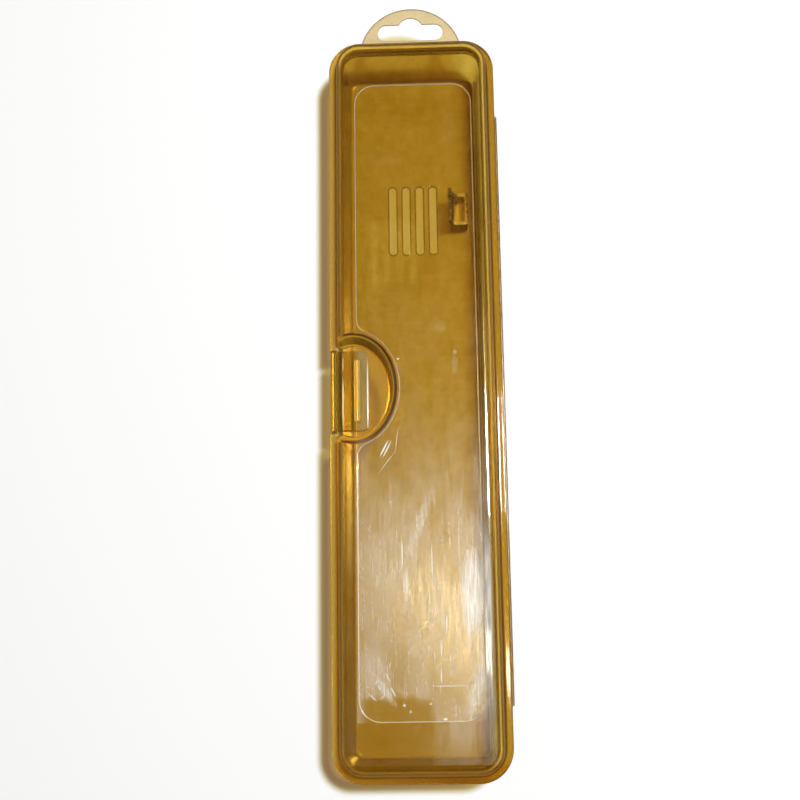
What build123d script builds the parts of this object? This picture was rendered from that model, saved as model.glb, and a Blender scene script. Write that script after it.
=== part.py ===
"""A travel case for one toothbrush, moulded in one shot of thin translucent plastic.

Lengths are in millimetres. The origin is the middle of the flat bottom, +Z is up, and +Y runs
along the case towards the hang tab. The lid's hinge is on the +X side and the latch on the -X
side. The case is closed and latched.
"""
import os

from build123d import *

# The case as a whole
case_width = 48.0
case_length = 209.8
rim_corner_radius = 9.0
parting_height = 15.5
lid_height = 7.5
wall = 1.2
rim_thickness = 1.5
rim_edge_rounding = 0.4
parting_gap = 0.1
parting_edge_rounding = 0.2

# How far the walls stand in from the rim's edge, and how the tub narrows to its bottom
wall_inset = 2.3
bottom_taper = 2.1
bottom_corner_radius = 2.8
bottom_edge_radius = 1.4
inner_floor_radius = 0.9

# The lid's top and its shallow sunk panel, which lies in from the walls' outer faces
shoulder_radius = 3.0
rim_joining_radius = 0.9
panel_left_border = 5.55
panel_right_border = 4.75
panel_end_border = 14.0
panel_corner_radius = 5.7
panel_depth = 0.4
panel_edge_rounding = 0.18
panel_border_by_recess = 1.67
panel_joining_radius = 4.0

# Air slots in the lid's top
vent_count = 4
vent_pitch = 3.75
vent_width = 1.9
vent_length = 19.7
vent_centre_y = 47.8
vent_edge_rounding = 0.25

# The living hinge of the lid
lid_web_length = 166.2
lid_web_centre_y = -2.1
lid_web_thickness = 0.3
lid_web_stand_off = 0.3
lid_web_half_height = 0.9

# The latch flap and the living hinge that it folds on
latch_centre_y = 0.3
flap_length = 22.6
flap_reach = 10.4
flap_thickness = 1.2
flap_bend_radius = 2.0
flap_corner_radius = 1.6
flap_edge_rounding = 0.3
flap_setback = 0.4
flap_seat_gap = 0.25
leg_rise = 0.25
latch_web_thickness = 0.35
latch_web_drop = 0.9
notch_clearance = 0.6
base_notch_depth = 1.3
lid_notch_clearance = 0.4

# The finger recess in the lid, an oval that is open to the left
recess_centre_from_rim = 6.7
recess_reach = 11.2
recess_half_length = 14.5
recess_wall_slope = 1.2
recess_edge_rounding = 1.0

# The catch that stands through the flap's slot
catch_from_pivot = 7.95
catch_thickness = 1.1
catch_length = 17.4
catch_rise = 2.2
catch_top_rounding = 0.3
catch_clearance = 0.3

# The hang tab and its slot for a shop hook
tab_radius = 15.0
tab_reach = 11.3
tab_thickness = 0.6
tab_edge_rounding = 0.2
slot_width = 19.2
slot_height = 5.1
slot_sill = 1.2
slot_end_radius = 2.45
crown_radius = 3.65
crown_rise = 2.1

# The clip on the floor that holds the brush by its neck
clip_wall_clearance = 2.4
clip_centre_y = 56.5
clip_width = 5.2
clip_length = 9.7
clip_wall = 1.0
clip_corner_radius = 0.5
clip_height = 5.5
clip_finger_height = 9.0
clip_finger_lean = 0.8
clip_post_length = 2.4
clip_post_rise = 1.6

# Worked out from the sizes above
body_width = case_width - 2 * wall_inset
body_length = case_length - 2 * wall_inset
body_corner_radius = rim_corner_radius - wall_inset
bottom_width = body_width - 2 * bottom_taper
bottom_length = body_length - 2 * bottom_taper
panel_width = body_width - panel_left_border - panel_right_border
panel_length = body_length - 2 * panel_end_border
panel_centre_x = (panel_left_border - panel_right_border) / 2
lid_bottom = parting_height + parting_gap
lid_top = parting_height + lid_height
rim_top = parting_height + rim_thickness
rim_bottom = parting_height - rim_thickness
rim_left = -case_width / 2
rim_right = case_width / 2
rim_far_end = case_length / 2
notch_length = flap_length + 2 * notch_clearance
base_notch_edge = rim_left + base_notch_depth
flap_left = rim_left + flap_setback
flap_right = flap_left + flap_reach
flap_bottom = rim_top + flap_seat_gap
flap_top = flap_bottom + flap_thickness
leg_bottom = parting_height + leg_rise
leg_right = flap_left + flap_thickness
bend_bottom = flap_top - flap_bend_radius
bend_right = flap_left + flap_bend_radius
lid_notch_edge = leg_right + lid_notch_clearance
recess_centre_x = rim_left + recess_centre_from_rim
latch_web_top = parting_height - latch_web_drop
latch_pivot_x = flap_left
latch_pivot_z = (latch_web_top + leg_bottom) / 2
catch_inner_radius = catch_from_pivot - catch_thickness / 2
catch_outer_radius = catch_from_pivot + catch_thickness / 2
slot_bottom_y = rim_far_end + slot_sill
slot_top_y = slot_bottom_y + slot_height
tab_tip_y = rim_far_end + tab_reach
clip_centre_x = bottom_width / 2 - wall - clip_wall_clearance - clip_width / 2

# How far apart two places may lie and still count as the same
nearness = 0.01


def rounded_outline(width, length, radius, height):
    """A rectangle with round corners, centred on the case, at a height."""
    with BuildSketch(Plane.XY.offset(height)) as outline:
        RectangleRounded(width, length, radius)
    return outline.sketch


def recess_outline(grown, height):
    """The finger recess's oval, grown outwards by a distance, at a height."""
    with BuildSketch(Plane.XY.offset(height)) as outline:
        with Locations((recess_centre_x, latch_centre_y)):
            Ellipse(recess_reach + grown, recess_half_length + grown)
    return outline.sketch


def notch_outline(inner_edge, height):
    """The gap in a rim that the latch rises through, at a height."""
    with BuildSketch(Plane.XY.offset(height)) as outline:
        with Locations((rim_left, latch_centre_y)):
            Rectangle(2 * (inner_edge - rim_left), notch_length)
    return outline.sketch


def catch_profile(inner_radius, outer_radius, bottom, top):
    """A blade's section about the latch's pivot, so the flap's slot swings past it evenly."""
    with BuildSketch(Plane.XZ.offset(-latch_centre_y)) as profile:
        with Locations((latch_pivot_x, latch_pivot_z)):
            Circle(outer_radius)
            Circle(inner_radius, mode=Mode.SUBTRACT)
        with Locations((latch_pivot_x, bottom)):
            Rectangle(2 * outer_radius, top - bottom, align=(Align.MIN, Align.MIN),
                      mode=Mode.INTERSECT)
    return profile.sketch


def face_at(part, height):
    """The largest flat level face of a part at a height."""
    level = part.faces().filter_by(Axis.Z)
    here = level.filter_by_position(Axis.Z, height - nearness, height + nearness)
    return here.sort_by(SortBy.AREA)[-1]


def export(piece, name):
    """Label a finished piece and write it as its own file."""
    piece.part.label = name
    export_step(piece.part, f"parts/{name}.step")


os.makedirs("parts", exist_ok=True)

# The base tray: a tub that narrows to its bottom, with a flat rim that the latch breaks
with BuildPart() as base_tray:
    loft([rounded_outline(bottom_width, bottom_length, bottom_corner_radius, 0),
          rounded_outline(body_width, body_length, body_corner_radius, parting_height)])
    fillet(base_tray.edges().group_by(Axis.Z)[0], bottom_edge_radius)
    rim = rounded_outline(case_width, case_length, rim_corner_radius, rim_bottom)
    extrude(rim, amount=rim_thickness)
    fillet(face_at(base_tray, rim_bottom).outer_wire().edges(), rim_edge_rounding)
    inner_bottom = rounded_outline(bottom_width - 2 * wall, bottom_length - 2 * wall,
                                   bottom_corner_radius - wall / 2, wall)
    inner_top = rounded_outline(body_width - 2 * wall, body_length - 2 * wall,
                                body_corner_radius - wall, parting_height)
    loft([inner_bottom, inner_top], mode=Mode.SUBTRACT)
    fillet(face_at(base_tray, wall).outer_wire().edges(), inner_floor_radius)
    fillet(face_at(base_tray, parting_height).edges(), parting_edge_rounding)
    extrude(notch_outline(base_notch_edge, rim_bottom), amount=rim_thickness,
            mode=Mode.SUBTRACT)
export(base_tray, "base_tray")

# The space inside the lid, which goes round the finger recess's wall
with BuildPart() as lid_hollow:
    ceiling = rounded_outline(body_width - 2 * wall, body_length - 2 * wall,
                              body_corner_radius - wall, parting_height)
    extrude(ceiling, amount=lid_height - wall)
    fillet(lid_hollow.edges().group_by(Axis.Z)[-1], shoulder_radius - wall)
    loft([recess_outline(wall - recess_wall_slope, parting_height),
          recess_outline(wall, lid_top)], mode=Mode.SUBTRACT)

# The sunk panel, which keeps a border beside the finger recess
with BuildSketch(Plane.XY.offset(lid_top)) as panel:
    with Locations((panel_centre_x, 0)):
        RectangleRounded(panel_width, panel_length, panel_corner_radius)
    with Locations((recess_centre_x, latch_centre_y)):
        Ellipse(recess_reach + panel_border_by_recess,
                recess_half_length + panel_border_by_recess, mode=Mode.SUBTRACT)
    beside_recess = panel.vertices().group_by(Axis.X)[0].sort_by(Axis.Y)[1:3]
    fillet(beside_recess, panel_joining_radius)

# The lid: a low dome with a round shoulder and the same rim as the tray
with BuildPart() as lid_shell:
    dome = rounded_outline(body_width, body_length, body_corner_radius, lid_bottom)
    extrude(dome, amount=lid_top - lid_bottom)
    fillet(lid_shell.edges().group_by(Axis.Z)[-1], shoulder_radius)
    rim = rounded_outline(case_width, case_length, rim_corner_radius, lid_bottom)
    extrude(rim, amount=rim_top - lid_bottom)
    fillet(face_at(lid_shell, rim_top).outer_wire().edges(), rim_edge_rounding)
    add(lid_hollow.part, mode=Mode.SUBTRACT)
    fillet(face_at(lid_shell, lid_bottom).edges(), parting_edge_rounding)
    # The finger recess down to the rim's level, with a soft brink
    loft([recess_outline(-recess_wall_slope, rim_top), recess_outline(0, lid_top)],
         mode=Mode.SUBTRACT)
    cut_edges = lid_shell.edges(Select.LAST)
    brink = cut_edges.filter_by_position(Axis.Z, rim_top + nearness, lid_top + nearness)
    fillet(brink, recess_edge_rounding)
    # The dome and the recess's wall rise from the rim in one soft hollow
    fillet(face_at(lid_shell, rim_top).inner_wires()[0].edges(), rim_joining_radius)
    # The gap for the flap's leg
    extrude(notch_outline(lid_notch_edge, lid_bottom), amount=lid_height, mode=Mode.SUBTRACT)
    # The sunk panel, with a soft step round it
    extrude(panel.sketch, amount=-panel_depth, mode=Mode.SUBTRACT)
    step_edges = lid_shell.edges(Select.LAST).group_by(Axis.Z)
    fillet(step_edges[0] + step_edges[-1], panel_edge_rounding)
    # The air slots
    with BuildSketch(Plane.XY.offset(lid_top)):
        with Locations((0, vent_centre_y)):
            with GridLocations(vent_pitch, 0, vent_count, 1):
                SlotOverall(vent_length, vent_width, rotation=90)
    extrude(amount=-2 * wall, mode=Mode.SUBTRACT)
    vent_edges = lid_shell.edges(Select.LAST).group_by(Axis.Z)
    fillet(vent_edges[0] + vent_edges[-1], vent_edge_rounding)
export(lid_shell, "lid_shell")

# The lid's living hinge: a thin strip that joins the two rims along their outer edge
with BuildPart() as lid_hinge_web:
    with BuildSketch(Plane.XZ.offset(-lid_web_centre_y)):
        with Locations((rim_right, parting_height)):
            Rectangle(lid_web_stand_off + lid_web_thickness, 2 * lid_web_half_height,
                      align=(Align.MIN, Align.CENTER))
            Rectangle(lid_web_stand_off, 2 * (lid_web_half_height - lid_web_thickness),
                      align=(Align.MIN, Align.CENTER), mode=Mode.SUBTRACT)
    extrude(amount=lid_web_length / 2, both=True)
export(lid_hinge_web, "lid_hinge_web")

# The latch flap: a leg beside the rims, a bend, and a plate with a slot over the recess
with BuildPart() as latch_flap:
    with BuildSketch(Plane.XZ.offset(-latch_centre_y)):
        with BuildLine():
            Polyline((leg_right, leg_bottom), (flap_left, leg_bottom), (flap_left, bend_bottom))
            RadiusArc((flap_left, bend_bottom), (bend_right, flap_top), flap_bend_radius)
            Polyline((bend_right, flap_top), (flap_right, flap_top), (flap_right, flap_bottom),
                     (bend_right, flap_bottom))
            RadiusArc((bend_right, flap_bottom), (leg_right, bend_bottom),
                      flap_thickness - flap_bend_radius)
            Line((leg_right, bend_bottom), (leg_right, leg_bottom))
        make_face()
    extrude(amount=flap_length / 2, both=True)
    fillet(latch_flap.edges().filter_by(Axis.Z).group_by(Axis.X)[-1], flap_corner_radius)
    plate_edges = face_at(latch_flap, flap_top).outer_wire().edges().sort_by(Axis.X)
    fillet(plate_edges[1:], flap_edge_rounding)
    slot = catch_profile(catch_inner_radius - catch_clearance,
                         catch_outer_radius + catch_clearance,
                         rim_top, flap_top + flap_thickness)
    extrude(slot, amount=catch_length / 2 + catch_clearance, both=True, mode=Mode.SUBTRACT)
export(latch_flap, "latch_flap")

# The latch's living hinge: a thin strip from the tray's rim up to the flap's leg
with BuildPart() as latch_hinge_web:
    with BuildSketch(Plane.XZ.offset(-latch_centre_y)):
        with Locations((flap_left, latch_web_top)):
            Rectangle(latch_web_thickness, leg_bottom - latch_web_top,
                      align=(Align.MIN, Align.MIN))
            Rectangle(base_notch_edge - flap_left, latch_web_thickness,
                      align=(Align.MIN, Align.MAX))
    extrude(amount=flap_length / 2, both=True)
export(latch_hinge_web, "latch_hinge_web")

# The catch on the recess's floor, which the flap's slot snaps over
with BuildPart() as lid_catch:
    blade = catch_profile(catch_inner_radius, catch_outer_radius, rim_top,
                          rim_top + catch_rise)
    extrude(blade, amount=catch_length / 2, both=True)
    fillet(lid_catch.edges().group_by(Axis.Z)[-1].filter_by(Axis.Y), catch_top_rounding)
export(lid_catch, "lid_catch")

# The hang tab: a thin rounded loop on the tray's far end, with a slot for a shop hook
with BuildPart() as hang_tab:
    with BuildSketch(Plane.XY.offset(parting_height - tab_thickness)):
        with Locations((0, tab_tip_y - tab_radius)):
            Circle(tab_radius)
        with Locations((0, rim_far_end)):
            Rectangle(2 * tab_radius, tab_reach, align=(Align.CENTER, Align.MIN),
                      mode=Mode.INTERSECT)
        with Locations((0, (slot_bottom_y + slot_top_y) / 2)):
            RectangleRounded(slot_width, slot_height, slot_end_radius, mode=Mode.SUBTRACT)
        with Locations((0, slot_top_y + crown_rise - crown_radius)):
            Circle(crown_radius, mode=Mode.SUBTRACT)
    extrude(amount=tab_thickness)
    free_edges = hang_tab.edges().filter_by_position(Axis.Y, rim_far_end + nearness, tab_tip_y)
    outlines = free_edges.group_by(Axis.Z)
    fillet(outlines[0] + outlines[-1], tab_edge_rounding)
export(hang_tab, "hang_tab")

# The neck clip: a small open box on the tray's floor, with one taller finger that leans out
with BuildPart() as brush_neck_clip:
    with BuildSketch(Plane.XY.offset(wall)):
        with Locations((clip_centre_x, clip_centre_y)):
            RectangleRounded(clip_width, clip_length, clip_corner_radius)
            Rectangle(clip_width - 2 * clip_wall, clip_length - 2 * clip_wall,
                      mode=Mode.SUBTRACT)
    extrude(amount=clip_height)
    finger_left = clip_centre_x - clip_width / 2
    box_top = wall + clip_height
    finger_top = wall + clip_finger_height
    with BuildSketch(Plane.XZ.offset(-clip_centre_y)):
        with BuildLine():
            Polyline((finger_left, box_top), (finger_left + clip_wall, box_top),
                     (finger_left + clip_wall - clip_finger_lean, finger_top),
                     (finger_left - clip_finger_lean, finger_top), close=True)
        make_face()
    extrude(amount=clip_length / 2, both=True)
    with BuildSketch(Plane.XY.offset(finger_top)):
        with Locations((finger_left - clip_finger_lean, clip_centre_y + clip_length / 2)):
            Rectangle(clip_wall, clip_post_length, align=(Align.MIN, Align.MAX))
    extrude(amount=clip_post_rise)
export(brush_neck_clip, "brush_neck_clip")
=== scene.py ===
"""Looks for the toothbrush case: a latched travel case moulded in translucent amber plastic.

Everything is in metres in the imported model's frame: origin at the middle of the flat bottom, +Z up,
+Y towards the hang tab, the lid's hinge on the +X side and the latch on the -X side. Sizes written
with MM are millimetres.
"""

import math

import bmesh
import bpy
from mathutils import Matrix, Vector


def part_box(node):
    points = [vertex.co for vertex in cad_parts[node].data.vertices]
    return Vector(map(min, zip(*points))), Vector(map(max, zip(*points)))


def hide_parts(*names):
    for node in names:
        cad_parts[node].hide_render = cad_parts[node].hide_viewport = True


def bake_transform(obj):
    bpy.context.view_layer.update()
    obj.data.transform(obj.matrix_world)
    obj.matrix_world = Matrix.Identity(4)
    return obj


MM = 0.001

# The camera, as the photograph was taken: close, and a little from the near end
CAMERA_PLACE = (0.0059157, -0.0691593, 0.3550346)
CAMERA_AIM = (-0.0050889, 0.0010526, 0.0)
CAMERA_ROLL = math.radians(-9.919)
CAMERA_LENS = 55.95
SENSOR_WIDTH = 36.0

# The light. A level of 1 in all lights a white floor to white. The world is dimmer where the
# plastic mirrors it. The key lamp is round, and the overhead lamp is long.
WORLD_LEVEL = 0.045
MIRRORED_LEVEL = 0.15
KEY_LEVEL = 0.985
KEY_PLACE = (0.326, 0.163, 1.166)
KEY_SIZE = 0.15
OVERHEAD_RADIANCE = 20.0
OVERHEAD_CENTRE = (0.067, -0.073, 1.5)
OVERHEAD_SIZE = (0.04, 0.285)
# The floor: its colour, the colour that the plastic mirrors, how much light it is given near the
# case and far from it, half its size, and how far below the case it lies
FLOOR_COLOUR = (0.96, 0.96, 0.955)
MIRRORED_FLOOR = (0.42, 0.32, 0.12, 1.0)
FLOOR_LIFT = 0.015
FAR_FLOOR_LIFT = 0.75
FLOOR_HALF = 2.0
FLOOR_DROP = 0.05 * MM
# How far from the case, in millimetres, the floor's light starts to grow, and where it is full
FLOOR_LIFT_FADE = (200.0, 1000.0)
# How steeply up the world starts to be white where it shows, and where it is all white
HORIZON_FADE = (0.55, 0.2)

# The amber plastic: the share of red, green and blue light that a metre of it takes, as a rate,
# and the density that stands for all of it, which is above every rate
AMBER_RATE = (105.0, 195.0, 606.0)
FLAP_RATE = (150.0, 235.0, 800.0)
WEB_RATE = (300.0, 520.0, 1100.0)
TAB_RATE = (160.0, 330.0, 900.0)
DENSITY = 1200.0
PLASTIC_IOR = 1.49
# The lamplight that a surface lets straight through where it is level, steep, and on the rims
LEVEL_PASSES = (0.92, 0.888, 0.754, 1.0)
STEEP_PASSES = (0.82, 0.79, 0.58, 1.0)
RIM_PASSES = (0.82, 0.79, 0.59, 1.0)
# The tint of level surfaces, and of their mottles and their milky wear
LEVEL_TINT = (0.919, 0.843, 0.585, 1.0)
MOTTLE_TINT = (0.81, 0.71, 0.34, 1.0)
MILKY_TINT = (0.97, 0.95, 0.87, 1.0)
# The tint of the lid's shoulder: painted shade at the latch, painted light at the far end and the
# hinge, and deeper painted shade at the near end
SHADED_SHOULDER_TINT = (0.74, 0.48, 0.07, 1.0)
LIT_SHOULDER_TINT = (1.0, 0.90, 0.42, 1.0)
SHADED_NEAR_END_TINT = (0.71, 0.45, 0.04, 1.0)
# The tint of the tray's walls, and of its wall at the hinge, which is lighter with painted light
WALL_TINT = (0.93, 0.74, 0.27, 1.0)
LIT_HINGE_WALL_TINT = (1.0, 0.95, 0.62, 1.0)
# The tint of the rims at the latch and at the hinge, and where a rim meets its wall
RIM_TINT = (0.90, 0.74, 0.20, 1.0)
HINGE_RIM_TINT = (0.74, 0.60, 0.18, 1.0)
FOOT_TINT = (0.68, 0.42, 0.04, 1.0)
# The tint of the finger recess's wall, and of its floor
RECESS_TINT = (0.95, 0.52, 0.04, 1.0)
HOLLOW_TINT = (1.0, 0.85, 0.36, 1.0)
# The tint of the sunk panel's outline, a painted highlight, and of dark outlines
LINE_TINT = (1.0, 0.92, 0.70, 1.0)
DARK_LINE_TINT = (0.50, 0.40, 0.22, 1.0)
# The tint of the flap, of the painted reflection by its free edge, of its bends, and of its painted
# highlights
FLAP_TINT = (0.74, 0.74, 0.40, 1.0)
FLAP_REFLECTION_TINT = (0.88, 0.93, 0.68, 1.0)
FLAP_STEEP_TINT = (0.52, 0.43, 0.14, 1.0)
FLAP_HIGHLIGHT_TINT = (1.0, 0.97, 0.88, 1.0)
# The tint of the neck clip's sides, painted shade, and of its inside, painted light, and of the floor
# within it, a painted pool of light
CLIP_SHADE_TINT = (0.50, 0.34, 0.13, 1.0)
CLIP_LIT_TINT = (1.0, 0.84, 0.30, 1.0)
CLIP_FLOOR_LIGHT_TINT = (1.0, 0.80, 0.28, 1.0)
# The tint of the catch, painted to glow, of the hang tab and its edge, and of the hinge strips and
# their creases
CATCH_GLOW_TINT = (1.0, 0.72, 0.12, 1.0)
TAB_TINT = (0.80, 0.70, 0.50, 1.0)
TAB_EDGE_TINT = (0.42, 0.36, 0.27, 1.0)
WEB_TINT = (0.80, 0.62, 0.40, 1.0)
CREASE_TINT = (0.50, 0.38, 0.24, 1.0)

# Places on the case, in millimetres. The outline of the walls' outer faces: half its width and
# length, and its corner radius
WALL_X = 21.7
WALL_Y = 102.6
WALL_CORNER = 6.7
# The sunk panel, and the outline around it: where it starts and ends across, and half its length
PANEL = (-16.1, 16.9, 88.5)
PANEL_OUTLINE = (-16.6, 17.3, 89.0)
# The air slots: their pitch, half their straight length, and their middle
VENTS = (3.75, 8.9, 47.8)
# The finger recess: its middle, its half axes, and the heights between which its floor starts
RECESS_MIDDLE = (-17.3, 0.3)
RECESS_AXES = (11.2, 14.5)
RECESS_FLOOR = (18.6, 17.6)
# The lid's shoulder: where its looks turn into those of the far end and the hinge, with painted
# light, and of the near end, with painted shade
FAR_SHOULDER = (94.0, 98.0)
HINGE_SHOULDER = (16.0, 19.0)
NEAR_SHOULDER = (-98.0, -101.0)
# The milky wear: where it starts along and is full, its two bounds across, the patch that it leaves
# out, across and along, and where it thins out past the panel's near end
WEAR_START = (8.0, -46.0)
WEAR_SIDES = (-16.7, 19.3)
BARE_SIDES = (-13.0, 4.5)
BARE_START = (-78.6, -81.5)
WEAR_END = (-88.6, -89.0)
# The middle of a ring-shaped mark on the panel
RING = (10.9, 9.7)
# Inside the neck clip, where its painted light falls: its slanted left bound, as a place across and a
# slope, its right bound, and its two ends along
CLIP_SLANT = (3.15, 0.16)
CLIP_RIGHT = 15.2
CLIP_ENDS = (52.2, 60.8)
# Where the tray's looks turn into those of its wall at the hinge, with its painted light, and where
# the rims' do
HINGE_SIDE = (10.0, 18.0)
HINGE_RIM = (-10.0, 20.0)
# The flap's painted reflection, a pale field: where it starts and ends across
FLAP_REFLECTION = (-16.6, -13.0)
# The hang tab's outer arc: its middle and radius
TAB_ARC = (0.0, 101.2, 15.0)
# The height above which a surface is the lid's outer top, and below which it is the tray's floor
LID_TOP = 22.3
TRAY_FLOOR = 1.4
# The tray's bottom corners, from one height to another, and where its floor brightens at its ends,
# both with painted light
TRAY_CORNER = (1.25, 2.2)
TRAY_ENDS = (92.0, 98.5)

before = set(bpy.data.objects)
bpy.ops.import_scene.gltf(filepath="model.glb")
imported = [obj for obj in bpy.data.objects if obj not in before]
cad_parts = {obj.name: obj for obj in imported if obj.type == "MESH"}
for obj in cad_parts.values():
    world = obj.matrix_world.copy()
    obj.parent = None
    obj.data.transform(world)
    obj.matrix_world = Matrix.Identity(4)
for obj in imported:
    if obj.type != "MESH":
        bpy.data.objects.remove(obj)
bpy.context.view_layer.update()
scene = bpy.context.scene


def add(tree, kind, inputs=None, **settings):
    """Adds a shader node, with its settings, and with values or links for its inputs."""
    node = tree.nodes.new(kind)
    for name, value in settings.items():
        setattr(node, name, value)
    for name, value in (inputs or {}).items():
        if isinstance(value, bpy.types.NodeSocket):
            tree.links.new(value, node.inputs[name])
        else:
            node.inputs[name].default_value = value
    return node


def blank_tree(owner):
    """Empties the node tree of a material or a world and returns it."""
    owner.use_nodes = True
    owner.node_tree.nodes.clear()
    return owner.node_tree


def maths(tree, operation, first, second=0.0):
    """A sum, product or the like of two numbers."""
    return add(tree, "ShaderNodeMath", {0: first, 1: second}, operation=operation).outputs[0]


def product(tree, *factors):
    """All factors multiplied."""
    result = factors[0]
    for factor in factors[1:]:
        result = maths(tree, "MULTIPLY", result, factor)
    return result


def total(tree, *terms):
    """All terms added."""
    result = terms[0]
    for term in terms[1:]:
        result = maths(tree, "ADD", result, term)
    return result


def distance(tree, aside, beyond):
    """How long a way is that goes aside, then straight on."""
    return maths(tree, "SQRT", total(tree, product(tree, aside, aside),
                                     product(tree, beyond, beyond)))


def rest_of(tree, value):
    """What a value lacks of 1."""
    return maths(tree, "SUBTRACT", 1.0, value)


def ramp(tree, value, start, end, low=0.0, high=1.0):
    """Goes smoothly from low to high as a value goes from start to end."""
    return add(tree, "ShaderNodeMapRange",
               {"Value": value, "From Min": start, "From Max": end, "To Min": low, "To Max": high},
               interpolation_type="SMOOTHSTEP").outputs["Result"]


def place_in_mm(tree, stretch=(1, 1, 1)):
    """Where the surface is on its own piece, in millimetres, then scaled on each axis."""
    place = add(tree, "ShaderNodeTexCoord").outputs["Object"]
    return add(tree, "ShaderNodeVectorMath", {0: place, 1: [s / MM for s in stretch]},
               operation="MULTIPLY").outputs[0]


def noise(tree, size, stretch=(1, 1, 1), detail=3.0, roughness=0.55):
    """Noise with features of about size millimetres, squeezed by stretch on each axis."""
    return add(tree, "ShaderNodeTexNoise",
               {"Vector": place_in_mm(tree, stretch), "Scale": 1.0 / size, "Detail": detail,
                "Roughness": roughness}).outputs["Fac"]


def between(tree, value, low, high, softness):
    """1 where a value lies between two bounds, with soft ends."""
    return product(tree, ramp(tree, value, low - softness, low + softness),
                   ramp(tree, value, high + softness, high - softness))


def mixed(tree, share, first, second):
    """A colour between two others."""
    return add(tree, "ShaderNodeMix", {0: share, 6: first, 7: second}, data_type="RGBA").outputs[2]


def steepness(tree):
    """0 on a level surface of the closed case and 1 on an upright one."""
    facing = add(tree, "ShaderNodeTexCoord").outputs["Normal"]
    up = add(tree, "ShaderNodeSeparateXYZ", {"Vector": facing}).outputs["Z"]
    return ramp(tree, maths(tree, "ABSOLUTE", up), 0.97, 0.45)


def past_walls(tree, across, along):
    """How far outside the walls' rounded outline the surface is, and below 0 inside it."""
    aside = maths(tree, "SUBTRACT", maths(tree, "ABSOLUTE", across), WALL_X - WALL_CORNER)
    beyond = maths(tree, "SUBTRACT", maths(tree, "ABSOLUTE", along), WALL_Y - WALL_CORNER)
    aside = maths(tree, "MAXIMUM", aside, 0.0)
    beyond = maths(tree, "MAXIMUM", beyond, 0.0)
    return maths(tree, "SUBTRACT", distance(tree, aside, beyond), WALL_CORNER)


def rims(tree, across, along):
    """1 on the rims, 1 where a rim meets its wall, and the share of lamplight that the rims take,
    which is less towards the hinge."""
    outward = past_walls(tree, across, along)
    rim = maths(tree, "GREATER_THAN", outward, 0.0)
    foot = between(tree, outward, 0.0, 0.5, 0.25)
    return rim, foot, product(tree, rim, ramp(tree, across, *HINGE_RIM, 1.0, 0.35))


def with_rims(tree, across, rim, foot, tint):
    """A tint, with the rims' own tint on them, which deepens towards the hinge."""
    own = mixed(tree, ramp(tree, across, *HINGE_RIM), RIM_TINT, HINGE_RIM_TINT)
    return mixed(tree, foot, mixed(tree, rim, tint, own), FOOT_TINT)


def in_clip(tree, across, along):
    """1 right of the slanted bound inside the neck clip and left of its right bound, where painted
    light falls, else 0.
    """
    place, slope = CLIP_SLANT
    slanted = total(tree, across, product(tree, along, -slope))
    return product(tree, ramp(tree, slanted, place - 0.1, place + 0.1),
                   ramp(tree, across, CLIP_RIGHT + 0.1, CLIP_RIGHT - 0.1))


def in_recess(tree, across, along, wider):
    """1 inside the finger recess's outline made wider by some millimetres, and 0 outside it."""
    aside = maths(tree, "DIVIDE", maths(tree, "SUBTRACT", across, RECESS_MIDDLE[0]),
                  RECESS_AXES[0] + wider)
    beyond = maths(tree, "DIVIDE", maths(tree, "SUBTRACT", along, RECESS_MIDDLE[1]),
                   RECESS_AXES[1] + wider)
    return ramp(tree, total(tree, product(tree, aside, aside), product(tree, beyond, beyond)),
                1.02, 0.98)


def from_vents(tree, across, along):
    """How far from the middle line of the nearest air slot the surface is."""
    pitch, half_length, middle = VENTS
    aside = maths(tree, "SUBTRACT", maths(tree, "FLOORED_MODULO", across, pitch), pitch / 2)
    beyond = maths(tree, "ABSOLUTE", maths(tree, "SUBTRACT", along, middle))
    beyond = maths(tree, "MAXIMUM", maths(tree, "SUBTRACT", beyond, half_length), 0.0)
    outer = maths(tree, "SUBTRACT", maths(tree, "ABSOLUTE", across), 1.5 * pitch)
    aside = maths(tree, "MAXIMUM", maths(tree, "ABSOLUTE", aside), outer)
    return distance(tree, aside, beyond)


def from_point(tree, across, along, x, y):
    """How far from an upright line through a point the surface is."""
    return distance(tree, maths(tree, "SUBTRACT", across, x), maths(tree, "SUBTRACT", along, y))


def axes(tree):
    """How far across, along and up the surface is, in millimetres."""
    parts = add(tree, "ShaderNodeSeparateXYZ", {"Vector": place_in_mm(tree)}).outputs
    return parts["X"], parts["Y"], parts["Z"]


def finish_plastic(tree, shader, rates, steep, rim=0.0):
    """Wires a clear plastic up: its surface, which lets lamplight through, and its body, which
    takes light at the given rates for each metre."""
    passes = mixed(tree, rim, mixed(tree, steep, LEVEL_PASSES, STEEP_PASSES), RIM_PASSES)
    through = add(tree, "ShaderNodeBsdfTransparent", {"Color": passes})
    to_lamp = add(tree, "ShaderNodeLightPath").outputs["Is Shadow Ray"]
    surface = add(tree, "ShaderNodeMixShader", {0: to_lamp, 1: shader.outputs["BSDF"],
                                                2: through.outputs["BSDF"]})
    clear = [1.0 - rate / DENSITY for rate in rates]
    body = add(tree, "ShaderNodeVolumeAbsorption", {"Color": (*clear, 1.0), "Density": DENSITY})
    add(tree, "ShaderNodeOutputMaterial",
        {"Surface": surface.outputs["Shader"], "Volume": body.outputs["Volume"]})


def plastic_shader(tree, roughness, height, bump_distance, tint, haze=0.0):
    """A clear plastic surface with a roughness and a relief in millimetres. Haze, from 0 to 1, is
    the share of its light that scatters back in its tint."""
    bump = add(tree, "ShaderNodeBump",
               {"Height": height, "Strength": 1.0, "Distance": bump_distance * MM})
    return add(tree, "ShaderNodeBsdfPrincipled",
               {"Base Color": tint, "Transmission Weight": rest_of(tree, haze),
                "IOR": PLASTIC_IOR, "Roughness": roughness, "Normal": bump.outputs["Normal"]})


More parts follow.
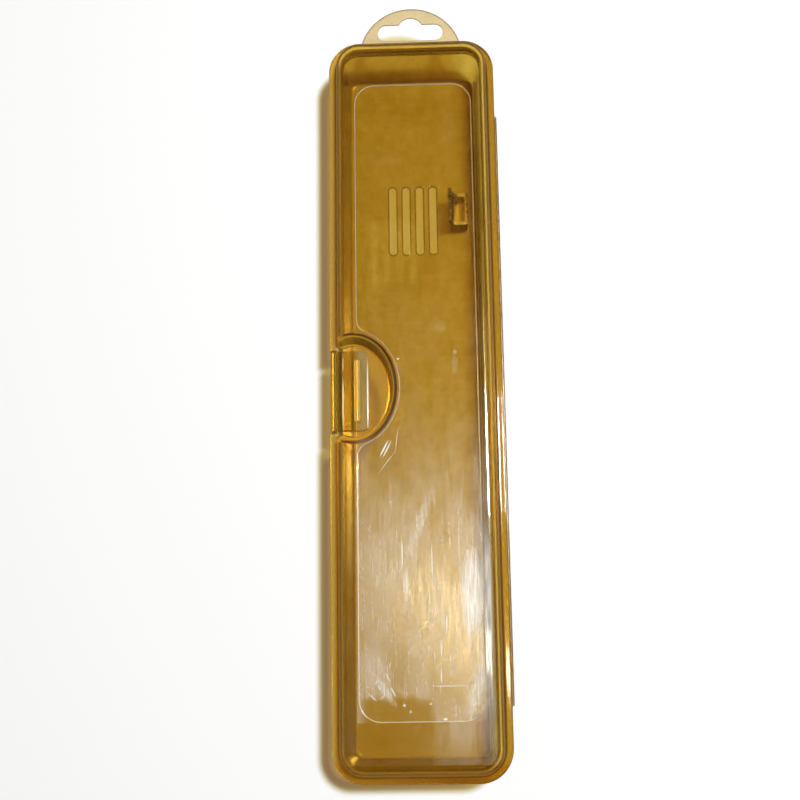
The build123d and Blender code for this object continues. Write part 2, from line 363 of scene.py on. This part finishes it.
# Oval marks: middle (x, y), half length and half width in millimetres, turn in degrees from lying
# along the case, anticlockwise from above, and how white it is. First the sharp ones on the lid
SCRATCHES = [
    (-8.9, -16.7, 2.3, 0.22, -28, 0.9), (-8.1, -16.9, 2.4, 0.18, -27, 0.8),
    (-5.5, -14.5, 3.0, 0.10, -8, 0.5), (-8.3, -20.6, 3.6, 0.10, -38, 0.5),
    (-4.4, -45.2, 3.8, 0.20, 0, 0.8), (3.5, -47.3, 5.0, 0.18, 1, 0.6),
    (12.8, -62.5, 7.4, 0.22, 0, 0.8), (5.5, -70.0, 2.4, 0.18, 0, 0.7),
    (5.4, -77.0, 2.2, 0.18, 0, 0.7), (7.1, -63.3, 2.1, 0.2, 0, 0.7),
    (7.6, -79.6, 5.6, 0.18, 90, 0.5), (-2.8, -86.0, 0.4, 0.25, 0, 0.5),
    (-4.4, -84.4, 0.35, 0.35, 0, 0.7), (2.5, -84.1, 0.35, 0.35, 0, 0.5),
    (-3.2, -74.6, 0.3, 0.3, 0, 0.4), (-1.6, -80.0, 0.4, 0.25, 0, 0.4),
    (-6.9, -63.0, 0.25, 0.25, 0, 0.5), (6.2, -88.0, 0.35, 0.5, 0, 0.8),
    (-4.8, 8.1, 0.28, 0.28, 0, 0.8), (-11.5, -78.3, 0.9, 0.22, -30, 0.6),
    (-8.6, -77.2, 1.5, 0.2, 25, 0.6), (-12.6, -82.3, 1.3, 0.22, 50, 0.5),
    (-10.2, -75.6, 1.2, 0.18, -15, 0.3), (13.0, -77.8, 1.4, 0.2, -35, 0.4),
    (15.2, -82.6, 1.3, 0.22, 30, 0.35), (11.2, -81.4, 1.0, 0.2, 10, 0.35),
    (-0.6, -65.0, 3.4, 0.12, 2, 0.35), (9.6, -57.0, 5.2, 0.12, -1, 0.4),
    (-10.9, -79.9, 0.8, 0.2, 35, 0.6), (-7.3, -80.9, 1.4, 0.22, 28, 0.65),
    (-9.9, -82.1, 0.9, 0.18, -50, 0.5), (-13.9, -79.6, 0.7, 0.18, 70, 0.5),
    (-8.0, -74.2, 1.1, 0.16, -12, 0.5), (-12.3, -76.4, 0.8, 0.16, 60, 0.45),
    (14.1, -79.9, 0.9, 0.2, -10, 0.55), (12.4, -76.1, 0.8, 0.16, 40, 0.45),
    (-6.6, -52.0, 4.2, 0.12, 3, 0.35), (0.9, -56.0, 4.6, 0.12, 1, 0.35),
]
# The soft marks on the lid: smudges, and two painted highlights
SMUDGES_AND_GLARE = [
    (-0.2, -38.6, 10.0, 1.3, -21, 0.13), (-8.6, -46.0, 12.0, 4.0, -8, 0.06),
    # These two are painted highlights: the overhead lamp's glare on the worn end, by the hinge side
    (13.9, -55.0, 9.0, 2.6, 0, 0.50), (18.1, -57.0, 14.0, 0.9, 0, 0.35),
    (-3.5, -52.5, 4.5, 0.7, 3, 0.22), (-11.8, -75.5, 5.0, 3.0, 24, 0.10),
    (-9.4, -80.5, 4.2, 1.0, 34, 0.30), (14.5, -80.5, 6.0, 1.6, -20, 0.20),
    (6.9, 17.4, 1.9, 1.5, 20, 0.07), (10.7, 6.2, 2.4, 0.9, 0, 0.10),
    (*RING, 0.5, 0.5, 0, 0.25), (10.4, 74.6, 5.0, 1.4, 0, 0.02),
    (-7.5, 66.0, 1.0, 5.5, 6, 0.02),
]
# The painted highlights on the flap: two along its bend and one along its free edge
FLAP_HIGHLIGHTS = [(-20.3, -3.2, 7.0, 0.16, 0, 0.8), (-20.3, 7.6, 2.6, 0.12, 0, 0.4),
              (-13.42, -1.2, 9.6, 0.22, 0, 0.85)]


def marks(tree, places, softness):
    """The strongest of a list of oval marks, each turned about the upright axis."""
    place = place_in_mm(tree)
    result = 0.0
    for x, y, half_length, half_width, turn, white in places:
        turned = add(tree, "ShaderNodeVectorRotate",
                     {"Vector": place, "Center": (x, y, 0.0), "Angle": -math.radians(turn)},
                     rotation_type="Z_AXIS").outputs[0]
        away = add(tree, "ShaderNodeVectorMath", {0: turned, 1: (x, y, 0.0)},
                   operation="SUBTRACT").outputs[0]
        away = add(tree, "ShaderNodeVectorMath",
                   {0: away, 1: (1.0 / half_width, 1.0 / half_length, 0.0)},
                   operation="MULTIPLY").outputs[0]
        far = add(tree, "ShaderNodeVectorMath", {0: away}, operation="LENGTH").outputs["Value"]
        inside = ramp(tree, far, 1.0 + softness, 1.0 - softness, 0.0, white)
        result = maths(tree, "MAXIMUM", result, inside)
    return result


def lid_cloud(tree, across, along, worn, streaks, smears):
    """The milky wear at the lid's handle end. It leaves out a patch, and much of the near end."""
    ragged = total(tree, along, product(tree, smears, 5.0))
    bare = product(tree, between(tree, total(tree, across, product(tree, smears, 4.0)),
                                 *BARE_SIDES, 1.5), ramp(tree, ragged, *BARE_START))
    near_end = product(tree, ramp(tree, along, *WEAR_END),
                       ramp(tree, total(tree, across, product(tree, smears, 8.0)), 14.0, 0.0))
    return product(tree, worn, ramp(tree, smears, 0.25, 0.7, 0.7, 1.0),
                   ramp(tree, streaks, 0.3, 0.7, 0.8, 1.1),
                   rest_of(tree, product(tree, bare, 0.85)), rest_of(tree, near_end),
                   between(tree, across, *WEAR_SIDES, 0.2),
                   ramp(tree, along, -99.0, -90.0, 0.55, 1.0))


def panel_line(tree, across, along, outside, steep, recess):
    """1 on the sunk panel's outline, and how strong the painted highlight on it is there."""
    left, right, half_length = PANEL_OUTLINE
    line = product(tree, outside, ramp(tree, steep, 0.02, 0.25),
                   ramp(tree, from_vents(tree, across, along), 1.2, 1.5), rest_of(tree, recess),
                   between(tree, across, left, right, 0.1),
                   between(tree, along, -half_length, half_length, 0.2))
    # The outline's painted highlight, stronger near the handle end and on the latch side's worn part
    line_highlight = total(tree, ramp(tree, along, 20.0, -20.0, 0.32, 0.5),
                       product(tree, ramp(tree, across, -15.5, -16.0),
                               between(tree, along, -72.0, -22.0, 4.0), 0.8))
    return line, line_highlight


def lid_material():
    """Amber plastic, clear at the head end and scratched along its length at the handle end, with
    painted light and shade on its shoulders.
    """
    material = bpy.data.materials.new("amber_lid")
    tree = blank_tree(material)
    across, along, up = axes(tree)
    steep = steepness(tree)
    rim, foot, shading_rim = rims(tree, across, along)
    # Where things are
    left, right, half_length = PANEL
    outside = ramp(tree, up, LID_TOP - 0.1, LID_TOP + 0.1)
    border = product(tree, outside, between(tree, maths(tree, "ABSOLUTE", along), 0.0, 99.5, 0.2))
    panel = product(tree, outside, between(tree, across, left, right, 0.1),
                    between(tree, along, -half_length, half_length, 0.1))
    worn = ramp(tree, along, *WEAR_START)
    recess = in_recess(tree, across, along, 1.0)
    hollow = product(tree, in_recess(tree, across, along, -0.5), ramp(tree, up, *RECESS_FLOOR))
    line, line_highlight = panel_line(tree, across, along, outside, steep, recess)
    edge = product(tree, ramp(tree, steep, 0.0, 0.25), rest_of(tree, line))
    ring = between(tree, from_point(tree, across, along, *RING), 0.75, 1.15, 0.15)
    dark_line = maths(tree, "MAXIMUM", product(tree, ring, 0.5, panel),
                      product(tree, ramp(tree, from_vents(tree, across, along), 1.45, 1.25),
                              ramp(tree, steep, 0.9, 0.5)))
    # Painted light on the shoulder at the far end and the hinge, and painted shade at the near end
    lit_side = maths(tree, "MAXIMUM", ramp(tree, along, *FAR_SHOULDER),
                      ramp(tree, across, *HINGE_SHOULDER))
    near_end = ramp(tree, along, *NEAR_SHOULDER)
    # The noises
    streaks = noise(tree, 0.42, (1, 0.05, 1), 3.0, 0.65)
    fine = noise(tree, 0.25, (1, 0.02, 1), 2.0)
    smears = noise(tree, 5.0, (1, 0.35, 1), 3.0, 0.6)
    grain = noise(tree, 0.6, detail=2.0)
    weave = noise(tree, 1.1, (0.12, 1, 1), 2.0)
    swell = noise(tree, 8.0, detail=1.0)
    patches = noise(tree, 3.0, (1, 0.7, 1), 4.0, 0.6)
    # The haze of the wear, the marks and the painted glare, then with the outline's painted highlight
    # and that of the edges
    cloud = lid_cloud(tree, across, along, worn, streaks, smears)
    smudges_and_glare = product(tree, marks(tree, SMUDGES_AND_GLARE, 0.55), ramp(tree, streaks, 0.25, 0.7, 0.35, 1.3))
    haze = total(tree, product(tree, cloud, 0.18), smudges_and_glare,
                 ramp(tree, smears, 0.35, 0.75, 0.0, 0.006),
                 product(tree, ramp(tree, along, 34.0, 8.0),
                         ramp(tree, smears, 0.3, 0.6, 0.006, 0.03)))
    haze = total(tree, product(tree, border, haze), product(tree, line, line_highlight))
    wear = maths(tree, "MAXIMUM", haze, product(tree, panel, marks(tree, SCRATCHES, 0.4)))
    # Thinner haze on the shoulders at the far end and the hinge, part of their painted light
    haze = total(tree, wear, product(tree, rim, ramp(tree, across, -20.0, 20.0, 0.22, 0.06)),
                 product(tree, steep, ramp(tree, lit_side, 0.0, 1.0, 0.30, 0.06)),
                 product(tree, hollow, 0.07), product(tree, hollow, steep, 0.3),
                 product(tree, recess, steep, 0.55))
    roughness = total(tree, ramp(tree, grain, 0.2, 0.8, 0.03, 0.08), product(tree, steep, 0.14),
                      product(tree, panel, cloud, ramp(tree, fine, 0.3, 0.7, 0.08, 0.20)),
                      product(tree, border, worn, ramp(tree, streaks, 0.45, 0.6, 0.0, 0.06)))
    height = total(tree, product(tree, panel, worn, streaks, 0.08), product(tree, grain, 0.02),
                   product(tree, swell, ramp(tree, rim, 0.0, 1.0, 0.8, 0.3)),
                   product(tree, weave, 0.05))
    mottle = total(tree, ramp(tree, patches, 0.35, 0.65, 0.0, 0.7),
                   ramp(tree, weave, 0.3, 0.7, 0.0, 0.3), ramp(tree, along, -45.0, -75.0, 0.0, 0.5))
    tint = mixed(tree, ramp(tree, wear, 0.02, 0.25),
                 mixed(tree, mottle, LEVEL_TINT, MOTTLE_TINT), MILKY_TINT)
    # The shoulders: painted shade at the latch side, painted light at the far end and the hinge
    tint = mixed(tree, edge, tint, mixed(tree, lit_side, SHADED_SHOULDER_TINT, LIT_SHOULDER_TINT))
    tint = with_rims(tree, across, rim, foot, tint)
    # Deeper painted shade on the near end's shoulder and rim
    tint = mixed(tree, product(tree, near_end, maths(tree, "MAXIMUM", edge, rim)), tint,
                 SHADED_NEAR_END_TINT)
    tint = mixed(tree, hollow, tint, HOLLOW_TINT)
    tint = mixed(tree, product(tree, recess, ramp(tree, steep, 0.0, 0.1)), tint, RECESS_TINT)
    # The panel outline's painted highlight, and the dark outlines
    tint = mixed(tree, dark_line, mixed(tree, line, tint, LINE_TINT), DARK_LINE_TINT)
    shader = plastic_shader(tree, roughness, height, 0.04, tint, haze)
    finish_plastic(tree, shader, AMBER_RATE, steep, shading_rim)
    return material


def tray_material():
    """Amber plastic with a faint ripple and grain from its mould, with painted light on its wall at
    the hinge, along its floor's edges and ends, and inside the neck clip.
    """
    material = bpy.data.materials.new("amber_tray")
    tree = blank_tree(material)
    across, along, up = axes(tree)
    steep = steepness(tree)
    rim, foot, shading_rim = rims(tree, across, along)
    floor = ramp(tree, up, TRAY_FLOOR + 0.1, TRAY_FLOOR - 0.1)
    # Painted light along the floor's edges, and where the floor brightens at its ends
    corner = product(tree, ramp(tree, steep, 0.0, 0.1), ramp(tree, steep, 0.7, 0.3),
                     between(tree, up, *TRAY_CORNER, 0.05))
    ends = product(tree, ramp(tree, maths(tree, "ABSOLUTE", along), *TRAY_ENDS), floor)
    # A painted pool of light on the floor inside the neck clip
    lit_clip = product(tree, in_clip(tree, across, along), between(tree, along, *CLIP_ENDS, 0.1),
                       ramp(tree, across, 9.9, 10.1), floor, 0.45)
    grain = noise(tree, 0.8, detail=3.0)
    swell = noise(tree, 7.0, detail=2.0)
    roughness = ramp(tree, grain, 0.2, 0.8, 0.10, 0.18)
    height = total(tree, product(tree, grain, 0.04), product(tree, swell, 0.8))
    # Thinner haze on the wall at the hinge, part of its painted light
    haze = total(tree, product(tree, steep, ramp(tree, across, *HINGE_SIDE, 0.16, 0.03)),
                 product(tree, rim, ramp(tree, across, -20.0, 20.0, 0.16, 0.05)),
                 product(tree, corner, 0.3), product(tree, ends, 0.06), lit_clip)
    # The wall at the hinge is lighter: painted light
    wall = mixed(tree, ramp(tree, across, *HINGE_SIDE), WALL_TINT, LIT_HINGE_WALL_TINT)
    tint = mixed(tree, ramp(tree, steep, 0.0, 0.25), LEVEL_TINT, wall)
    tint = with_rims(tree, across, rim, foot, tint)
    # The painted pool of light inside the neck clip
    tint = mixed(tree, lit_clip, tint, CLIP_FLOOR_LIGHT_TINT)
    shader = plastic_shader(tree, roughness, height, 0.04, tint, haze)
    finish_plastic(tree, shader, AMBER_RATE, steep, shading_rim)
    return material


def latch_material():
    """The latch flap: the same plastic, glossier, with a painted reflection, a pale field, by its
    free edge, and painted highlights.
    """
    material = bpy.data.materials.new("amber_latch")
    tree = blank_tree(material)
    across = axes(tree)[0]
    steep = steepness(tree)
    grain = noise(tree, 0.8, detail=3.0)
    roughness = ramp(tree, grain, 0.2, 0.8, 0.03, 0.10)
    height = total(tree, product(tree, grain, 0.04), noise(tree, 5.0, detail=1.0))
    # A painted reflection by the free edge, and painted highlights on the bend and the free edge
    field = between(tree, across, *FLAP_REFLECTION, 0.9)
    lines = marks(tree, FLAP_HIGHLIGHTS, 0.5)
    haze = total(tree, product(tree, grain, 0.02), product(tree, steep, 0.08),
                 product(tree, field, 0.08))
    haze = maths(tree, "MAXIMUM", haze, lines)
    tint = mixed(tree, steep, mixed(tree, field, FLAP_TINT, FLAP_REFLECTION_TINT), FLAP_STEEP_TINT)
    tint = mixed(tree, lines, tint, FLAP_HIGHLIGHT_TINT)
    shader = plastic_shader(tree, roughness, height, 0.03, tint, haze)
    finish_plastic(tree, shader, FLAP_RATE, steep)
    return material


def clip_material():
    """The neck clip inside: thin, cloudy plastic, brown with painted shade at its sides and yellow
    with painted light within.
    """
    material = bpy.data.materials.new("amber_clip")
    tree = blank_tree(material)
    across, along = axes(tree)[:2]
    # Painted light inside the clip, and painted shade at its sides
    inner = in_clip(tree, across, along)
    grain = noise(tree, 0.7, detail=3.0)
    height = noise(tree, 0.5, detail=2.0)
    roughness = ramp(tree, grain, 0.2, 0.8, 0.15, 0.35)
    haze = ramp(tree, total(tree, inner, product(tree, grain, 0.3)), 0.0, 1.3, 0.15, 0.65)
    tint = mixed(tree, inner, CLIP_SHADE_TINT, CLIP_LIT_TINT)
    shader = plastic_shader(tree, roughness, height, 0.05, tint, haze)
    finish_plastic(tree, shader, AMBER_RATE, 1.0)
    return material


def catch_material():
    """The catch blade, with a painted glow: yellow along its top."""
    material = bpy.data.materials.new("bright_amber_catch")
    tree = blank_tree(material)
    grain = noise(tree, 0.6, detail=3.0)
    roughness = ramp(tree, grain, 0.2, 0.8, 0.08, 0.25)
    # A painted glow along the top edges
    edge = ramp(tree, steepness(tree), 0.01, 0.3)
    haze = total(tree, product(tree, grain, 0.5), product(tree, edge, 0.4))
    shader = plastic_shader(tree, roughness, grain, 0.03, CATCH_GLOW_TINT, haze)
    finish_plastic(tree, shader, AMBER_RATE, 0.3)
    return material


def tab_material():
    """The same plastic where it is thin and pale, lightly frosted."""
    material = bpy.data.materials.new("pale_amber_tab")
    tree = blank_tree(material)
    x, y, radius = TAB_ARC
    across, along = axes(tree)[:2]
    steep = steepness(tree)
    grain = noise(tree, 0.7, detail=3.0)
    smears = noise(tree, 3.0, detail=2.0)
    roughness = ramp(tree, grain, 0.2, 0.8, 0.25, 0.45)
    haze = ramp(tree, smears, 0.3, 0.7, 0.10, 0.30)
    outline = ramp(tree, from_point(tree, across, along, x, y), radius - 0.5, radius - 0.3)
    tint = mixed(tree, maths(tree, "MAXIMUM", steep, outline), TAB_TINT, TAB_EDGE_TINT)
    shader = plastic_shader(tree, roughness, grain, 0.02, tint, haze)
    finish_plastic(tree, shader, TAB_RATE, total(tree, product(tree, steep, 1.2), 0.2))
    return material


def web_material():
    """A thin hinge strip, darkened by bending in fine lines along its length."""
    material = bpy.data.materials.new("amber_web")
    tree = blank_tree(material)
    creases = noise(tree, 0.3, (1, 0.05, 1), 3.0)
    roughness = ramp(tree, creases, 0.3, 0.7, 0.12, 0.4)
    tint = mixed(tree, creases, WEB_TINT, CREASE_TINT)
    shader = plastic_shader(tree, roughness, creases, 0.03, tint, product(tree, creases, 0.15))
    finish_plastic(tree, shader, WEB_RATE, 1.0)
    return material


def floor_material():
    """A plain pale floor. What the eye sees of it is lifted a little, and more where it is far from
    the case and the lamps. Its shadows stay. Where the plastic mirrors it, it is dim, as a small
    sheet in a dim room is."""
    material = bpy.data.materials.new("pale_floor")
    tree = blank_tree(material)
    path = add(tree, "ShaderNodeLightPath").outputs
    seen = total(tree, path["Is Camera Ray"], path["Is Transmission Ray"])
    mirrored = product(tree, path["Is Glossy Ray"], rest_of(tree, path["Is Transmission Ray"]))
    colour = mixed(tree, mirrored, (*FLOOR_COLOUR, 1.0), MIRRORED_FLOOR)
    away = add(tree, "ShaderNodeVectorMath", {0: place_in_mm(tree)}, operation="LENGTH")
    lift = ramp(tree, away.outputs["Value"], *FLOOR_LIFT_FADE, FLOOR_LIFT, FAR_FLOOR_LIFT)
    shader = add(tree, "ShaderNodeBsdfPrincipled",
                 {"Base Color": colour, "Roughness": 0.9, "Specular IOR Level": 0.0,
                  "Emission Color": (1.0, 1.0, 1.0, 1.0),
                  "Emission Strength": product(tree, seen, lift)})
    add(tree, "ShaderNodeOutputMaterial", {"Surface": shader.outputs["BSDF"]})
    return material


def link_mesh(name, mesh):
    """Puts a mesh into the scene as an object."""
    made = bpy.data.objects.new(name, mesh)
    scene.collection.objects.link(made)
    return made


def make_floor():
    """The plain floor, a hair under the case so that the two don't share a face."""
    corners = [(-1, -1), (1, -1), (1, 1), (-1, 1)]
    mesh = bpy.data.meshes.new("floor")
    mesh.from_pydata([(x * FLOOR_HALF, y * FLOOR_HALF, -FLOOR_DROP) for x, y in corners], [],
                     [(0, 1, 2, 3)])
    mesh.materials.append(floor_material())
    link_mesh("floor", mesh)


def make_world():
    """A dim even studio. Where it shows, it is white near the horizon and dim overhead."""
    world = bpy.data.worlds.new("studio")
    scene.world = world
    tree = blank_tree(world)
    toward = add(tree, "ShaderNodeTexCoord").outputs["Generated"]
    rise = add(tree, "ShaderNodeSeparateXYZ", {"Vector": toward}).outputs["Z"]
    shown = ramp(tree, rise, *HORIZON_FADE, WORLD_LEVEL, 1.0)
    path = add(tree, "ShaderNodeLightPath").outputs
    seen = maths(tree, "MAXIMUM", maths(tree, "MAXIMUM", path["Is Camera Ray"],
                                        path["Is Transmission Ray"]),
                 product(tree, path["Is Glossy Ray"], MIRRORED_LEVEL))
    strength = total(tree, product(tree, seen, shown),
                     product(tree, rest_of(tree, seen), WORLD_LEVEL))
    light = add(tree, "ShaderNodeBackground", {"Color": (1, 1, 1, 1), "Strength": strength})
    add(tree, "ShaderNodeOutputWorld", {"Surface": light.outputs["Background"]})


def make_lamp(name, place, size, radiance, shape):
    """An area lamp of a radiance, where 1 is that of a white sheet in full light."""
    light = bpy.data.lights.new(name, "AREA")
    light.shape = shape
    light.size, light.size_y = size
    area = size[0] * size[1] * (math.pi / 4 if shape == "ELLIPSE" else 1.0)
    light.energy = radiance * math.pi * area
    lamp = bpy.data.objects.new(name, light)
    lamp.location = place
    lamp.rotation_euler = (-Vector(place)).to_track_quat("-Z", "Y").to_euler()
    scene.collection.objects.link(lamp)


def make_lights():
    """A key lamp beyond the hinge's far end, and a long soft lamp nearly overhead."""
    away = Vector(KEY_PLACE).length
    area = math.pi / 4 * KEY_SIZE ** 2
    radiance = KEY_LEVEL * math.pi * away ** 2 / (area * KEY_PLACE[2] / away)
    make_lamp("key", KEY_PLACE, (KEY_SIZE, KEY_SIZE), radiance, "ELLIPSE")
    make_lamp("overhead", OVERHEAD_CENTRE, OVERHEAD_SIZE, OVERHEAD_RADIANCE, "RECTANGLE")


def make_camera():
    """The camera at the photograph's angle."""
    camera = bpy.data.cameras.new("camera")
    camera.lens = CAMERA_LENS
    camera.sensor_width = SENSOR_WIDTH
    camera.clip_start = 0.01
    placed = bpy.data.objects.new("camera", camera)
    look = Vector(CAMERA_AIM) - Vector(CAMERA_PLACE)
    turn = look.to_track_quat("-Z", "Y").to_matrix().to_4x4()
    placed.matrix_world = (Matrix.Translation(CAMERA_PLACE) @ turn
                           @ Matrix.Rotation(CAMERA_ROLL, 4, "Z"))
    scene.collection.objects.link(placed)
    scene.camera = placed


def rounded_strip(name, centre_line, thickness, y_from, y_to, end_radius):
    """A thin strip that runs along Y. Its section follows a centre line of (x, z) points, and its
    two ends thin out in a quarter round, so it has no sharp corners."""
    points = [Vector(p) for p in centre_line]
    normals = []
    for i, point in enumerate(points):
        before = points[max(i - 1, 0)]
        after = points[min(i + 1, len(points) - 1)]
        along = (after - before).normalized()
        normals.append(Vector((-along.y, along.x)))
    half = thickness / 2
    count = len(points)
    ring = [p + n * half for p, n in zip(points, normals)]
    ring += [p - n * half for p, n in zip(reversed(points), reversed(normals))]
    middle = [(ring[i] + ring[2 * count - 1 - i]) / 2 for i in range(count)]
    middle += list(reversed(middle))
    steps = 5
    least = 0.25
    run_length = 6 * MM
    turns = [math.pi / 2 * s / steps for s in range(steps + 1)]
    closing = [(end_radius * (1 - math.cos(turn)), least + (1 - least) * math.sin(turn))
               for turn in turns]
    stations = [(y_from + inset, full) for inset, full in closing]
    runs = max(2, int((y_to - y_from) / run_length))
    inner_from, inner_to = y_from + end_radius, y_to - end_radius
    stations += [(inner_from + (inner_to - inner_from) * i / runs, 1.0) for i in range(1, runs)]
    stations += [(y_to - inset, full) for inset, full in reversed(closing)]
    bm = bmesh.new()
    rings = []
    for y, full in stations:
        rings.append([bm.verts.new(((m + (r - m) * full).x, y, (m + (r - m) * full).y))
                      for r, m in zip(ring, middle)])
    around = len(ring)
    for a, b in zip(rings, rings[1:]):
        for i in range(around):
            j = (i + 1) % around
            bm.faces.new((a[i], a[j], b[j], b[i]))
    bm.faces.new(rings[0])
    bm.faces.new(list(reversed(rings[-1])))
    bmesh.ops.recalc_face_normals(bm, faces=bm.faces[:])
    for face in bm.faces:
        face.smooth = True
    mesh = bpy.data.meshes.new(name)
    bm.to_mesh(mesh)
    bm.free()
    return link_mesh(name, mesh)


def make_lid_strip():
    """The lid's living hinge: from the tray's rim, round the parting line, to the lid's rim."""
    low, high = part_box("lid_hinge_web")
    thickness = 0.3 * MM
    half = thickness / 2
    bend = 0.3 * MM
    outer = high.x - half
    bottom, top = low.z + half, high.z - half
    line = [(low.x, bottom), (outer - bend, bottom)]
    line += [(outer - bend + bend * math.sin(a), bottom + bend - bend * math.cos(a))
             for a in (math.pi / 8 * i for i in range(1, 4))]
    rise = top - bottom - 2 * bend
    line += [(outer, bottom + bend + rise * i / 8) for i in range(9)]
    line += [(outer - bend + bend * math.cos(a), top - bend + bend * math.sin(a))
             for a in (math.pi / 8 * i for i in range(1, 4))]
    line += [(outer - bend, top), (low.x, top)]
    strip = rounded_strip("lid_hinge_strip", line, thickness, low.y, high.y, 1.0 * MM)
    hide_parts("lid_hinge_web")
    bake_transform(strip)
    return strip


def make_latch_strip():
    """The latch's living hinge: out of the tray's rim, then up to the flap's leg."""
    low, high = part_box("latch_hinge_web")
    thickness = 0.35 * MM
    half = thickness / 2
    bend = 0.25 * MM
    outer = low.x + half
    bottom, top = low.z + half, high.z
    line = [(high.x, bottom), (outer + bend, bottom)]
    line += [(outer + bend - bend * math.sin(a), bottom + bend - bend * math.cos(a))
             for a in (math.pi / 8 * i for i in range(1, 4))]
    rise = top - bottom - bend
    line += [(outer, bottom + bend + rise * i / 8) for i in range(9)]
    strip = rounded_strip("latch_hinge_strip", line, thickness, low.y, high.y, 0.6 * MM)
    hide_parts("latch_hinge_web")
    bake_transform(strip)
    return strip


def dress(node, material):
    """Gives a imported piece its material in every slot."""
    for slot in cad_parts[node].material_slots:
        slot.material = material


make_camera()
make_world()
make_lights()
make_floor()
scene.view_settings.view_transform = "Standard"
# Lamplight reaches what is behind the plastic by way of its surface, so it isn't counted twice
scene.cycles.caustics_reflective = False
scene.cycles.caustics_refractive = False

dress("base_tray", tray_material())
dress("lid_shell", lid_material())
dress("latch_flap", latch_material())
dress("lid_catch", catch_material())
dress("brush_neck_clip", clip_material())
dress("hang_tab", tab_material())
web = web_material()
make_lid_strip().data.materials.append(web)
make_latch_strip().data.materials.append(web)
